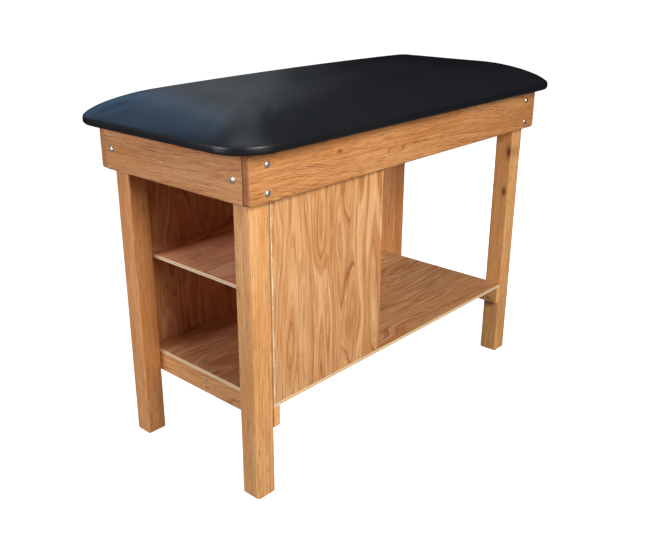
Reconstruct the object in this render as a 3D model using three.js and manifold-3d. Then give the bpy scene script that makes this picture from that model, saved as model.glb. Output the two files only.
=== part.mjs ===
// An oak treatment table: a bolted four-leg frame with a plywood cabinet at the left end,
// an open lower shelf, and a vinyl-covered foam pad on a plywood board.
// Millimetres. +X runs along the table away from the cabinet, +Y to the rear, +Z up.
// The origin is on the floor below the middle of the pad.
import * as THREE from "three";
import { mergeVertices } from "three/addons/utils/BufferGeometryUtils.js";
import Module from "manifold-3d";

const wasm = await Module();
wasm.setup();

// ---- Driving dimensions -------------------------------------------------------------
const GAP = 0.3; // clearance left between pieces that touch

const PAD_LENGTH = 1270;
const PAD_WIDTH = 610;
const TABLE_HEIGHT = 914.4;
const PAD_CORNER_RADIUS = 92;
const PAD_UNDERSIDE = 842.5; // lowest face of the vinyl, where it turns under the board
const PAD_BAND_TOP = 860; // top of the upright side band, level with the board's top face
const PAD_CORNER_TIGHTENING = 0.46; // how fast the corner radius shrinks as the outline is drawn in
const PAD_BOTTOM_ROUND = 7;
const PAD_SLOPE_WIDTH = 183; // plan width over which the foam edge rises to full height
const PAD_SLOPE_POWER = 1.9; // 1 is an elliptical shoulder, 2 is a slacker parabola
const FOAM_EDGE_INSET = 2.5; // the foam thins to a wedge at its edge and stops short of the cover
const VINYL = 1.2;
const FLANGE_WIDTH = 34; // vinyl turned under the board

const FRAME_LENGTH = 1160;
const FRAME_WIDTH = 523;
const BOARD = 20; // thickness of the apron boards, rails and cleats
const APRON_TOP = 842.2;
const APRON_HEIGHT = 114;
const APRON_CORNER = 8; // lower corners of the long boards, seen from the front
const EDGE_ROUND = 5; // round-over on outer edges of the apron boards

const LEG_SIDE = 55.5;
const LEG_OUTER_ROUND = 10; // the corner that faces away from the table
const LEG_ROUND = 5;
const LEG_CHAMFER = 1.5;

const RAIL_HEIGHT = 52;
const SHELF_TOP = 236.5;
const SHELF_THICK = 9.5;
const MID_SHELF_TOP = 502;
const PANEL_THICK = 15.9;
const PANEL_RIGHT = -115; // right end of the cabinet's front and rear panels
const PANEL_SIDE_GAP = 2; // shadow gap between a panel and its leg
const DADO = 4; // depth of the grooves that hold the middle shelf
const MID_SHELF_SETBACK = 3;

const CLEAT_HEIGHT = 30;

const BOLT_RADIUS = 3.1;
const BOLT_LENGTH = 89;
const BOLT_HEAD_RADIUS = 7.4;
const BOLT_HEAD_HEIGHT = 3.8;
const BOLT_HEAD_EDGE = 0.6; // height of the head's rim below its dome
const BOLT_END_CHAMFER = 0.7;
const BOLT_FROM_END = 52; // long-board bolts, in from the end of the board
const BOLT_LOW = 21.7; // heights above the apron's lower edge
const BOLT_HIGH = 83.4;
const BOLT_MIDDLE = 52.6;
const NUT_ACROSS_FLATS = 11.1;
const NUT_HEIGHT = 5.6;
const WASHER_RADIUS = 9;
const WASHER_THICK = 1.6;

const SCREW_RADIUS = 2.2;
const SCREW_HEAD_RADIUS = 4.4;
const SCREW_HEAD_DEPTH = 2.9;
const SCREW_HEAD_EDGE = 0.4;
const SCREW_POINT = 4;
const RAIL_SCREW_LENGTH = 50;
const RAIL_SCREW_Y = 212;
const RAIL_SCREW_ABOVE_RAIL = 11;
const STRETCHER_SCREW_LENGTH = 60;
const STRETCHER_SCREW_SPACING = 23;
const SHELF_SCREW_LENGTH = 32;
const SHELF_SCREW_Y = 209;

// ---- Derived positions --------------------------------------------------------------
const APRON_BOTTOM = APRON_TOP - APRON_HEIGHT;
const LEG_OUTER_X = FRAME_LENGTH / 2 - BOARD - GAP;
const LEG_OUTER_Y = FRAME_WIDTH / 2 - BOARD - GAP;
const LEG_X = LEG_OUTER_X - LEG_SIDE / 2;
const LEG_Y = LEG_OUTER_Y - LEG_SIDE / 2;
const LEG_INNER_X = LEG_OUTER_X - LEG_SIDE;
const LEG_TOP = APRON_TOP - 2;
const BOLT_X = FRAME_LENGTH / 2 - BOLT_FROM_END;
const SHELF_BOTTOM = SHELF_TOP - SHELF_THICK;
const RAIL_TOP = SHELF_BOTTOM - GAP;
const RAIL_BOTTOM = RAIL_TOP - RAIL_HEIGHT;
const RAIL_X = LEG_INNER_X - GAP - BOARD / 2;
const RAIL_INNER_X = RAIL_X - BOARD / 2;
const PANEL_LEFT = -LEG_INNER_X + PANEL_SIDE_GAP;
const CORE_SKIN = VINYL + GAP; // depth of the board and foam below the pad's outer surface
const CLEAT_TOP = PAD_UNDERSIDE + CORE_SKIN - GAP;
const PANEL_TOP = CLEAT_TOP - CLEAT_HEIGHT - GAP;
const PANEL_BOTTOM = SHELF_TOP + GAP;
const PANEL_Y = LEG_OUTER_Y - PANEL_THICK / 2;
const PANEL_INNER_Y = LEG_OUTER_Y - PANEL_THICK;
const PARTITION_LEFT = PANEL_RIGHT - PANEL_THICK;
const MID_SHELF_BOTTOM = MID_SHELF_TOP - SHELF_THICK;

// ---- Materials ----------------------------------------------------------------------
const finish = (color, roughness, metalness = 0) =>
  new THREE.MeshStandardMaterial({ color, roughness, metalness });
const OAK = finish(0xc68b58, 0.45);
const OAK_PLY = finish(0xd9a36c, 0.45);
const BARE_PLY = finish(0xd8bd90, 0.7);
const BLACK_VINYL = finish(0x24272c, 0.4);
const FOAM = finish(0xe6dcb8, 0.95);
const ZINC = finish(0xc9ccd0, 0.25, 1);

// ---- Solid helpers ------------------------------------------------------------------
function toSolid(geometry) {
  const bare = geometry.clone();
  bare.deleteAttribute("normal");
  bare.deleteAttribute("uv");
  const merged = mergeVertices(bare, 1e-4);
  const mesh = new wasm.Mesh({
    numProp: 3,
    vertProperties: merged.attributes.position.array,
    triVerts: new Uint32Array(merged.index.array),
  });
  return new wasm.Manifold(mesh);
}

function toGeometry(solid) {
  const mesh = solid.getMesh();
  const geometry = new THREE.BufferGeometry();
  geometry.setAttribute("position", new THREE.BufferAttribute(mesh.vertProperties, 3));
  geometry.setIndex(new THREE.BufferAttribute(mesh.triVerts, 1));
  const faceted = geometry.toNonIndexed();
  faceted.computeVertexNormals();
  return faceted;
}

function cut(geometry, tools) {
  const solid = tools.reduce((rest, tool) => rest.subtract(toSolid(tool)), toSolid(geometry));
  return toGeometry(solid);
}

// Rectangle with its own radius at each corner: right-rear, left-rear, left-front, right-front.
function roundedRectangle(halfX, halfY, radii, segments) {
  const signs = [[1, 1], [-1, 1], [-1, -1], [1, -1]];
  return signs.flatMap(([sx, sy], corner) => {
    const r = radii[corner];
    const centre = new THREE.Vector2(sx * (halfX - r), sy * (halfY - r));
    return Array.from({ length: segments + 1 }, (_, i) => {
      const angle = (corner + i / segments) * (Math.PI / 2);
      return new THREE.Vector2(r * Math.cos(angle), r * Math.sin(angle)).add(centre);
    });
  });
}

// Closed solid through outlines with equal point counts, stacked along +Z and capped.
function stack(sections) {
  const count = sections[0].outline.length;
  const positions = sections.flatMap(({ outline, z }) => outline.flatMap((p) => [p.x, p.y, z]));
  const indices = [];
  for (let level = 0; level < sections.length - 1; level++) {
    for (let i = 0; i < count; i++) {
      const a = level * count + i;
      const b = level * count + ((i + 1) % count);
      indices.push(a, b, b + count, a, b + count, a + count);
    }
  }
  const cap = (section) => THREE.ShapeUtils.triangulateShape(section.outline, []);
  const top = (sections.length - 1) * count;
  cap(sections[0]).forEach(([a, b, c]) => indices.push(c, b, a));
  cap(sections.at(-1)).forEach(([a, b, c]) => indices.push(top + a, top + b, top + c));
  const geometry = new THREE.BufferGeometry();
  geometry.setAttribute("position", new THREE.Float32BufferAttribute(positions, 3));
  geometry.setIndex(indices);
  return geometry;
}

// Box between two corners.
function block(low, high) {
  const size = high.map((value, axis) => value - low[axis]);
  const middle = high.map((value, axis) => (value + low[axis]) / 2);
  return new THREE.BoxGeometry(...size).translate(...middle);
}

// Turns a geometry made along +Y to point along the given direction from the given point.
function aim(geometry, origin, direction) {
  const turn = new THREE.Quaternion().setFromUnitVectors(
    new THREE.Vector3(0, 1, 0),
    new THREE.Vector3(...direction),
  );
  return geometry.applyQuaternion(turn).translate(...origin);
}

function rod(radius, length, origin, direction) {
  const along = new THREE.CylinderGeometry(radius, radius, length, 12);
  return aim(along.translate(0, length / 2, 0), origin, direction);
}

// ---- Fasteners: each points along its own axis, with the head's seat at the origin ----
// The shank runs towards -Y of the profile, so the aimed direction is where the head faces.
function carriageBolt() {
  const dome = Array.from({ length: 6 }, (_, i) => {
    const angle = (i / 5) * (Math.PI / 2);
    const height = BOLT_HEAD_EDGE + (BOLT_HEAD_HEIGHT - BOLT_HEAD_EDGE) * Math.sin(angle);
    return new THREE.Vector2(BOLT_HEAD_RADIUS * Math.cos(angle), height);
  });
  dome[5].x = 0;
  const profile = [
    new THREE.Vector2(0, -BOLT_LENGTH),
    new THREE.Vector2(BOLT_RADIUS - BOLT_END_CHAMFER, -BOLT_LENGTH),
    new THREE.Vector2(BOLT_RADIUS, BOLT_END_CHAMFER - BOLT_LENGTH),
    new THREE.Vector2(BOLT_RADIUS, GAP),
    new THREE.Vector2(BOLT_HEAD_RADIUS, GAP),
    ...dome,
  ];
  return new THREE.LatheGeometry(profile, 16);
}

// With a clearance and an overshoot the same outline is the hole that the screw sits in.
function countersunkScrew(length, clearance = 0, overshoot = 0) {
  const shank = SCREW_RADIUS + clearance;
  const head = SCREW_HEAD_RADIUS + clearance;
  const profile = [
    new THREE.Vector2(0, -length - overshoot),
    new THREE.Vector2(shank, SCREW_POINT - length),
    new THREE.Vector2(shank, -SCREW_HEAD_DEPTH - clearance),
    new THREE.Vector2(head, -SCREW_HEAD_EDGE - clearance),
    new THREE.Vector2(head, overshoot),
    new THREE.Vector2(0, overshoot),
  ];
  return new THREE.LatheGeometry(profile, 12);
}

function nutWithWasher() {
  const hole = BOLT_RADIUS + GAP;
  const hexagon = new THREE.CylinderGeometry(1, 1, NUT_HEIGHT, 6);
  hexagon.scale(NUT_ACROSS_FLATS / Math.sqrt(3), 1, NUT_ACROSS_FLATS / Math.sqrt(3));
  hexagon.translate(0, WASHER_THICK + NUT_HEIGHT / 2 - 0.1, 0);
  const washer = new THREE.CylinderGeometry(WASHER_RADIUS, WASHER_RADIUS, WASHER_THICK, 16);
  washer.translate(0, WASHER_THICK / 2, 0);
  const joined = toSolid(hexagon).add(toSolid(washer));
  const bore = rod(hole, 20, [0, -5, 0], [0, 1, 0]);
  return toGeometry(joined.subtract(toSolid(bore)));
}

// ---- Fastener places: [name, head seat, direction that the head faces] --------------
const ends = [["left", -1], ["right", 1]];
const sides = [["front", -1], ["rear", 1]];
const corners = ends.flatMap(([end, sx]) => sides.map(([side, sy]) => ({ end, side, sx, sy })));

const boltPlaces = corners.flatMap(({ end, side, sx, sy }) => {
  const longFace = (z) => [sx * BOLT_X, (sy * FRAME_WIDTH) / 2, APRON_BOTTOM + z];
  const endFace = [(sx * FRAME_LENGTH) / 2, sy * LEG_Y, APRON_BOTTOM + BOLT_MIDDLE];
  return [
    { name: `${side}_${end}_upper`, seat: longFace(BOLT_HIGH), faces: [0, sy, 0] },
    { name: `${side}_${end}_lower`, seat: longFace(BOLT_LOW), faces: [0, sy, 0] },
    { name: `${side}_${end}_end`, seat: endFace, faces: [sx, 0, 0] },
  ];
});

const railScrews = corners.map(({ end, side, sx, sy }) => ({
  name: `rail_screw_${side}_${end}`,
  length: RAIL_SCREW_LENGTH,
  seat: [sx * RAIL_INNER_X, sy * RAIL_SCREW_Y, RAIL_BOTTOM + RAIL_SCREW_ABOVE_RAIL],
  faces: [-sx, 0, 0],
}));
const shelfScrews = corners.map(({ end, side, sx, sy }) => ({
  name: `shelf_screw_${side}_${end}`,
  length: SHELF_SCREW_LENGTH,
  seat: [sx * RAIL_X, sy * SHELF_SCREW_Y, SHELF_TOP],
  faces: [0, 0, 1],
}));
const stretcherScrews = ends.flatMap(([end, sx]) =>
  [["upper", 1], ["lower", -1]].map(([level, sz]) => ({
    name: `stretcher_screw_${end}_${level}`,
    length: STRETCHER_SCREW_LENGTH,
    seat: [
      sx * (RAIL_X + BOARD / 2),
      0,
      (RAIL_TOP + RAIL_BOTTOM + sz * STRETCHER_SCREW_SPACING) / 2,
    ],
    faces: [sx, 0, 0],
  })),
);
const screws = [...railScrews, ...shelfScrews, ...stretcherScrews];

const boltHoles = boltPlaces.map(({ seat, faces }) => {
  const start = seat.map((value, axis) => value + faces[axis] * 5);
  const inward = faces.map((value) => -value);
  return rod(BOLT_RADIUS + GAP, BOLT_LENGTH + 10, start, inward);
});
const screwHoles = screws.map(({ length, seat, faces }) =>
  aim(countersunkScrew(length, GAP, 1), seat, faces),
);

// Drills every fastener hole that meets the geometry's box.
function drill(geometry) {
  geometry.computeBoundingBox();
  const meets = (hole) => {
    hole.computeBoundingBox();
    return geometry.boundingBox.intersectsBox(hole.boundingBox);
  };
  return cut(geometry, [...boltHoles, ...screwHoles].filter(meets));
}

// ---- Frame --------------------------------------------------------------------------
// A long apron board, drawn in elevation and stacked from its inner to its outer face.
function longApron(sy) {
  const section = (inset, depth) => {
    const r = Math.max(APRON_CORNER - inset, 2);
    const half = FRAME_LENGTH / 2 - inset;
    const outline = [
      new THREE.Vector2(half, APRON_TOP),
      new THREE.Vector2(-half, APRON_TOP),
    ];
    const steps = 4;
    [[-1, Math.PI], [1, 1.5 * Math.PI]].forEach(([sx, start]) => {
      for (let i = 0; i <= steps; i++) {
        const angle = start + (i / steps) * (Math.PI / 2);
        const x = sx * (half - r) + r * Math.cos(angle);
        const z = APRON_BOTTOM + inset + r + r * Math.sin(angle);
        outline.push(new THREE.Vector2(x, z));
      }
    });
    return { outline, z: depth };
  };
  const rounding = [0, 1, 2, 3, 4].map((i) => {
    const angle = (i / 4) * (Math.PI / 2);
    const inset = EDGE_ROUND * (1 - Math.cos(angle));
    return section(inset, BOARD - EDGE_ROUND + EDGE_ROUND * Math.sin(angle));
  });
  const board = stack([section(0, 0), ...rounding]);
  // Elevation (x, z, depth) becomes the front board; the rear one is turned about.
  board.rotateX(Math.PI / 2).translate(0, BOARD - FRAME_WIDTH / 2, 0);
  return drill(sy < 0 ? board : board.rotateZ(Math.PI));
}

// An end apron board between the long boards, rounded along its lower outer edge.
function endApron(sx) {
  const steps = 4;
  const profile = [
    new THREE.Vector2(0, APRON_TOP),
    new THREE.Vector2(0, APRON_BOTTOM),
  ];
  for (let i = 0; i <= steps; i++) {
    const angle = (i / steps - 1) * (Math.PI / 2);
    const x = BOARD - EDGE_ROUND + EDGE_ROUND * Math.cos(angle);
    const z = APRON_BOTTOM + EDGE_ROUND + EDGE_ROUND * Math.sin(angle);
    profile.push(new THREE.Vector2(x, z));
  }
  profile.push(new THREE.Vector2(BOARD, APRON_TOP));
  const width = FRAME_WIDTH - 2 * BOARD - 2 * GAP;
  const board = stack([
    { outline: profile, z: -width / 2 },
    { outline: profile, z: width / 2 },
  ]);
  board.rotateX(Math.PI / 2).translate(FRAME_LENGTH / 2 - BOARD, 0, 0);
  return drill(sx > 0 ? board : board.rotateZ(Math.PI));
}

function leg(sx, sy) {
  const outerCorner = [[1, 1], [-1, 1], [-1, -1], [1, -1]].findIndex(
    ([x, y]) => x === sx && y === sy,
  );
  const section = (inset, z) => {
    const radii = [0, 1, 2, 3].map((corner) =>
      corner === outerCorner ? LEG_OUTER_ROUND : LEG_ROUND,
    );
    const half = LEG_SIDE / 2 - inset;
    return { outline: roundedRectangle(half, half, radii.map((r) => r - inset), 4), z };
  };
  const post = stack([section(LEG_CHAMFER, 0), section(0, LEG_CHAMFER), section(0, LEG_TOP)]);
  return drill(post.translate(sx * LEG_X, sy * LEG_Y, 0));
}

const shelfRail = (sx) =>
  drill(
    block(
      [sx * RAIL_X - BOARD / 2, -LEG_OUTER_Y, RAIL_BOTTOM],
      [sx * RAIL_X + BOARD / 2, LEG_OUTER_Y, RAIL_TOP],
    ),
  );

function shelfStretcher() {
  const end = RAIL_INNER_X - GAP;
  return drill(block([-end, -BOARD / 2, RAIL_BOTTOM], [end, BOARD / 2, RAIL_TOP]));
}

// Strip along the top of a long apron board, just proud of it, that the pad board rests on.
function padCleat(sy) {
  const end = LEG_INNER_X - GAP;
  const y = sy * (LEG_OUTER_Y - BOARD / 2);
  return block(
    [-end, y - BOARD / 2, CLEAT_TOP - CLEAT_HEIGHT],
    [end, y + BOARD / 2, CLEAT_TOP],
  );
}

// ---- Shelves and cabinet ------------------------------------------------------------
function lowerShelf() {
  const end = LEG_INNER_X - GAP;
  return drill(block([-end, -LEG_OUTER_Y, SHELF_BOTTOM], [end, LEG_OUTER_Y, SHELF_TOP]));
}

// The groove is cut past the panel's left end and stops inside the partition's corner.
function cabinetPanel(sy) {
  const panel = block(
    [PANEL_LEFT, sy * PANEL_Y - PANEL_THICK / 2, PANEL_BOTTOM],
    [PANEL_RIGHT, sy * PANEL_Y + PANEL_THICK / 2, PANEL_TOP],
  );
  const grooveY = sy * PANEL_INNER_Y;
  const groove = block(
    [PANEL_LEFT - 1, grooveY - DADO, MID_SHELF_BOTTOM - GAP],
    [PARTITION_LEFT + DADO, grooveY + DADO, MID_SHELF_TOP + GAP],
  );
  return cut(panel, [groove]);
}

function partition() {
  const halfY = PANEL_INNER_Y - GAP;
  const board = block([PARTITION_LEFT, -halfY, PANEL_BOTTOM], [PANEL_RIGHT, halfY, PANEL_TOP]);
  const groove = block(
    [PARTITION_LEFT - 1, -halfY - 1, MID_SHELF_BOTTOM - GAP],
    [PARTITION_LEFT + DADO, halfY + 1, MID_SHELF_TOP + GAP],
  );
  return cut(board, [groove]);
}

function middleShelf() {
  const halfY = PANEL_INNER_Y + DADO - GAP;
  return block(
    [-LEG_INNER_X + MID_SHELF_SETBACK, -halfY, MID_SHELF_BOTTOM],
    [PARTITION_LEFT + DADO - GAP, halfY, MID_SHELF_TOP],
  );
}

// ---- Pad ----------------------------------------------------------------------------
// Outline of the pad, drawn in by the given distance; corners tighten more slowly.
const padOutline = (inset) =>
  roundedRectangle(
    PAD_LENGTH / 2 - inset,
    PAD_WIDTH / 2 - inset,
    Array(4).fill(PAD_CORNER_RADIUS - PAD_CORNER_TIGHTENING * inset),
    8,
  );

// Board part of the pad's section: rounded lower edge, then the upright band.
function boardSections(skin) {
  const r = PAD_BOTTOM_ROUND;
  const rounding = [0, 1, 2, 3].map((i) => {
    const angle = (i / 3) * (Math.PI / 2);
    const z = PAD_UNDERSIDE + r - (r - skin) * Math.cos(angle);
    return { outline: padOutline(r - (r - skin) * Math.sin(angle)), z };
  });
  return [...rounding, { outline: padOutline(skin), z: PAD_BAND_TOP }];
}

// Foam part: a slack rise from the band to the flat top.
function foamSections(skin) {
  const steps = 6;
  const rise = TABLE_HEIGHT - PAD_BAND_TOP - skin;
  return Array.from({ length: steps + 1 }, (_, i) => {
    const angle = (i / steps) * (Math.PI / 2);
    const inset = skin + PAD_SLOPE_WIDTH * (1 - Math.cos(angle));
    return {
      outline: padOutline(inset),
      z: PAD_BAND_TOP + rise * Math.sin(angle) ** PAD_SLOPE_POWER,
    };
  });
}

const padBoard = () => stack(boardSections(CORE_SKIN));

function padFoam() {
  const base = { outline: padOutline(CORE_SKIN + FOAM_EDGE_INSET), z: PAD_BAND_TOP + GAP };
  return stack([base, ...foamSections(CORE_SKIN).slice(1)]);
}

// Vinyl shell, open below inside its turned-under flange.
function padCover() {
  const outer = stack([...boardSections(0), ...foamSections(0).slice(1)]);
  const inner = stack([...boardSections(VINYL), ...foamSections(VINYL).slice(1)]);
  const mouth = stack(
    [PAD_UNDERSIDE - 5, PAD_BAND_TOP].map((z) => ({ outline: padOutline(FLANGE_WIDTH), z })),
  );
  return cut(outer, [inner, mouth]);
}

// ---- Assembly -----------------------------------------------------------------------
const table = new THREE.Group();

function add(name, geometry, material, parent = table) {
  const mesh = new THREE.Mesh(geometry, material);
  mesh.name = name;
  parent.add(mesh);
  return mesh;
}

const frame = new THREE.Group();
add("front_apron_board", longApron(-1), OAK, frame);
add("rear_apron_board", longApron(1), OAK, frame);
add("left_end_apron_board", endApron(-1), OAK, frame);
add("right_end_apron_board", endApron(1), OAK, frame);
corners.forEach(({ end, side, sx, sy }) => add(`leg_${side}_${end}`, leg(sx, sy), OAK, frame));
ends.forEach(([end, sx]) => add(`shelf_rail_${end}`, shelfRail(sx), OAK, frame));
add("shelf_stretcher", shelfStretcher(), OAK, frame);
sides.forEach(([side, sy]) => add(`pad_cleat_${side}`, padCleat(sy), OAK, frame));

const cabinet = new THREE.Group();
add("lower_shelf", lowerShelf(), OAK_PLY, cabinet);
add("cabinet_front_panel", cabinetPanel(-1), OAK_PLY, cabinet);
add("cabinet_rear_panel", cabinetPanel(1), OAK_PLY, cabinet);
add("cabinet_partition", partition(), OAK_PLY, cabinet);
add("cabinet_middle_shelf", middleShelf(), OAK_PLY, cabinet);

const pad = new THREE.Group();
add("pad_board", padBoard(), BARE_PLY, pad);
add("pad_foam", padFoam(), FOAM, pad);
add("pad_cover", padCover(), BLACK_VINYL, pad);

const hardware = new THREE.Group();
boltPlaces.forEach(({ name, seat, faces }) => {
  add(`carriage_bolt_${name}`, aim(carriageBolt(), seat, faces), ZINC, hardware);
  const nutSeat = seat.map((value, axis) => value - faces[axis] * (BOARD + LEG_SIDE + 2 * GAP));
  const inward = faces.map((value) => -value);
  add(`nut_${name}`, aim(nutWithWasher(), nutSeat, inward), ZINC, hardware);
});
screws.forEach(({ name, length, seat, faces }) =>
  add(name, aim(countersunkScrew(length), seat, faces), ZINC, hardware),
);

table.add(frame, cabinet, pad, hardware);

export default table;
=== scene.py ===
"""An oak treatment table with a black vinyl pad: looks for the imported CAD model."""

import math
import random

import bmesh
import bpy
from mathutils import Matrix, Vector


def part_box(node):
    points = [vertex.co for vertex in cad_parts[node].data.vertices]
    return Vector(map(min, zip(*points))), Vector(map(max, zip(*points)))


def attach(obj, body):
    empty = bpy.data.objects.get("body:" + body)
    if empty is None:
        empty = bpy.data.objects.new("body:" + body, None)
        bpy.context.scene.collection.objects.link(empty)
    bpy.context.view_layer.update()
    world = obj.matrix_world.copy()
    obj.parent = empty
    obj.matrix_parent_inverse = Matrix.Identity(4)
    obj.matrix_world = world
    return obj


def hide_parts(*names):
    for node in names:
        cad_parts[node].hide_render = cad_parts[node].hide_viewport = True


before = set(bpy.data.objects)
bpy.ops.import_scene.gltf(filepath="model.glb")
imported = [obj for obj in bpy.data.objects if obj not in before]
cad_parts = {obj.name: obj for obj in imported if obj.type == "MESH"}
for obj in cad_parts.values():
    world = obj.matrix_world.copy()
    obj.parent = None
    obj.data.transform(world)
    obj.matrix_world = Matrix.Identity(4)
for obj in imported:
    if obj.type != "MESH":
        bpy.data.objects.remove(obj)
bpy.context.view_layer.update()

MM = 0.001
ENDS = {"left": -1, "right": 1}
SIDES = {"front": -1, "rear": 1}
AXES = "XYZ"

# ---- Pad, in millimetres -----------------------------------------------------------
PAD_LOW, PAD_HIGH = (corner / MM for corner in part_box("pad_cover"))
PAD_HALF_X = PAD_HIGH.x
PAD_HALF_Y = PAD_HIGH.y
PAD_TOP = PAD_HIGH.z
PAD_UNDERSIDE = PAD_LOW.z
BOARD_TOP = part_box("pad_board")[1].z / MM  # the crease between side band and slope
CORNER_RADIUS = 92
CORNER_TIGHTENING = 0.46  # how fast the corner radius shrinks as an outline is drawn in
SMALLEST_RADIUS = 8
BOTTOM_ROUND = 7
SLOPE_WIDTH = 183
SIDE_POWER = 2.0  # 1 makes the shoulder a quarter of an ellipse, and 2 makes it a slacker parabola
CORNER_POWER = 1.48  # the same power at a corner, where the foam is fuller
CORNER_REACH = 124  # how far from a corner its power is felt
SIDE_ROLL = 2  # how far the foam stands up at the board's edge, away from the corners
ROLL_FADE = 12  # how quickly that roll dies away up the shoulder
CROWN = 8  # how much higher the middle of the top is than its edges
CROWN_POWER_ALONG = 2  # higher powers make the crown flatter, with a steeper edge
CROWN_POWER_ACROSS = 6
FLANGE_WIDTH = 34  # how far the vinyl is turned under the board
FLANGE_RINGS = (28, 21)  # insets of the rings between the flange's edge and the bottom rounding
HEM = 0.3  # how far the vinyl's cut edge bulges
VINYL = 1.2
LINING_TOP = BOARD_TOP + 0.2  # where the vinyl's inner face ends, just above the board
EDGE_RISE = 2  # how much higher than the CAD pad the shoulder ends
LONG_STEPS = 108  # points along each long side of an outline, half of each corner included
SHORT_STEPS = 50
SHOULDER_STEPS = 18
INNER_ROUND_STEPS = 2
OUTER_ROUND_STEPS = 5
PLEATS = 5  # folds in the turned-under vinyl at each corner
PLEAT_DEPTH = 1.4
PLEAT_LEAD = 4  # how far out in the bottom rounding the pleats begin


def outline_radius(inset):
    """The corner radius of an outline that is drawn in by inset."""
    return max(CORNER_RADIUS - CORNER_TIGHTENING * inset, SMALLEST_RADIUS)


def outline_side(half_length, half_width, radius, steps):
    """Points of one side seen from above, from mid-corner to mid-corner, along +X at -Y."""
    straight = 2 * (half_length - radius)
    arc = radius * math.pi / 4
    total = straight + 2 * arc
    points = []
    for i in range(steps):
        distance = total * i / steps
        if distance < arc:
            angle = -math.pi * 3 / 4 + distance / radius
            centre = -half_length + radius
        elif distance > arc + straight:
            angle = -math.pi / 2 + (distance - arc - straight) / radius
            centre = half_length - radius
        else:
            points.append((-half_length + radius + distance - arc, -half_width))
            continue
        x = centre + radius * math.cos(angle)
        points.append((x, -half_width + radius + radius * math.sin(angle)))
    return points


def outline(inset):
    """A pad outline drawn in by inset, anticlockwise from the middle of the left front corner."""
    x, y, radius = PAD_HALF_X - inset, PAD_HALF_Y - inset, outline_radius(inset)
    front = outline_side(x, y, radius, LONG_STEPS)
    right = [(-b, a) for a, b in outline_side(y, x, radius, SHORT_STEPS)]
    half = front + right
    return half + [(-a, -b) for a, b in half]


def pleat(x, y, inset):
    """How far the turned-under vinyl puckers downwards at a point near a corner."""
    radius = CORNER_RADIUS
    dx = abs(x) - (PAD_HALF_X - radius)
    dy = abs(y) - (PAD_HALF_Y - radius)
    if dx <= 0 or dy <= 0:
        return 0
    share = math.atan2(dy, dx) / (math.pi / 2)
    fade = math.sin(math.pi * share) ** 0.5
    gather = min(max((inset - BOTTOM_ROUND + PLEAT_LEAD) / (FLANGE_WIDTH - BOTTOM_ROUND), 0), 1)
    return PLEAT_DEPTH * gather * fade * math.sin(math.pi * PLEATS * share) ** 2


def crown(x, y):
    """How much higher the domed top is at a point than at the pad's outline."""
    along = 1 - (x / PAD_HALF_X) ** CROWN_POWER_ALONG
    across = 1 - (y / PAD_HALF_Y) ** CROWN_POWER_ACROSS
    return CROWN * along * across


def shoulder(x, y, climb):
    """The height of a point of the shoulder above the board.

    climb is an angle: 0 at the board and a right angle where the shoulder meets the top.
    """
    off_x = abs(x) - PAD_HALF_X + CORNER_RADIUS / 3
    off_y = abs(y) - PAD_HALF_Y + CORNER_RADIUS / 3
    cornering = math.exp(-(off_x**2 + off_y**2) / CORNER_REACH**2)
    power = SIDE_POWER + (CORNER_POWER - SIDE_POWER) * cornering
    rise = PAD_TOP + EDGE_RISE - BOARD_TOP
    roll = SIDE_ROLL * (1 - cornering) * math.cos(climb) ** ROLL_FADE
    return rise * math.sin(climb) ** power + crown(x, y) * math.sin(climb) + roll


def pad_rings():
    """(inset, height, climb) of every ring, from inside the cover, round its flange, to the top.

    climb is the angle up the padded shoulder, or None where the vinyl lies on the board.
    """
    inner = [(VINYL, LINING_TOP)]
    inner_radius = BOTTOM_ROUND - VINYL
    for i in range(INNER_ROUND_STEPS + 1):
        angle = i / INNER_ROUND_STEPS * math.pi / 2
        inset = BOTTOM_ROUND - inner_radius * math.cos(angle)
        inner.append((inset, PAD_UNDERSIDE + BOTTOM_ROUND - inner_radius * math.sin(angle)))
    inner.append((FLANGE_WIDTH, PAD_UNDERSIDE + VINYL))
    flange = [(FLANGE_WIDTH + HEM, PAD_UNDERSIDE + VINYL / 2), (FLANGE_WIDTH, PAD_UNDERSIDE)]
    flange += [(inset, PAD_UNDERSIDE) for inset in FLANGE_RINGS]
    rounding = []
    for i in range(OUTER_ROUND_STEPS + 1):
        angle = i / OUTER_ROUND_STEPS * math.pi / 2
        inset = BOTTOM_ROUND * (1 - math.sin(angle))
        rounding.append((inset, PAD_UNDERSIDE + BOTTOM_ROUND * (1 - math.cos(angle))))
    band = [(0, (PAD_UNDERSIDE + BOTTOM_ROUND + BOARD_TOP) / 2)]
    fixed = [(inset, height, None) for inset, height in inner + flange + rounding + band]
    slope = []
    for i in range(SHOULDER_STEPS + 1):
        angle = i / SHOULDER_STEPS * math.pi / 2
        slope.append((SLOPE_WIDTH * (1 - math.cos(angle)), BOARD_TOP, angle))
    return fixed + slope


def coons(points):
    """Places inside a closed outline, as a grid that fits its four sides."""
    front = points[: LONG_STEPS + 1]
    right = points[LONG_STEPS : LONG_STEPS + SHORT_STEPS + 1]
    rear = points[LONG_STEPS + SHORT_STEPS : 2 * LONG_STEPS + SHORT_STEPS + 1][::-1]
    left = (points[2 * LONG_STEPS + SHORT_STEPS :] + points[:1])[::-1]
    grid = {}
    for i in range(1, LONG_STEPS):
        for j in range(1, SHORT_STEPS):
            s, t = i / LONG_STEPS, j / SHORT_STEPS
            across = front[i] * (1 - t) + rear[i] * t
            along = left[j] * (1 - s) + right[j] * s
            corners = (front[0] * (1 - s) + front[-1] * s) * (1 - t)
            corners += (rear[0] * (1 - s) + rear[-1] * s) * t
            grid[i, j] = across + along - corners
    return grid


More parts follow.
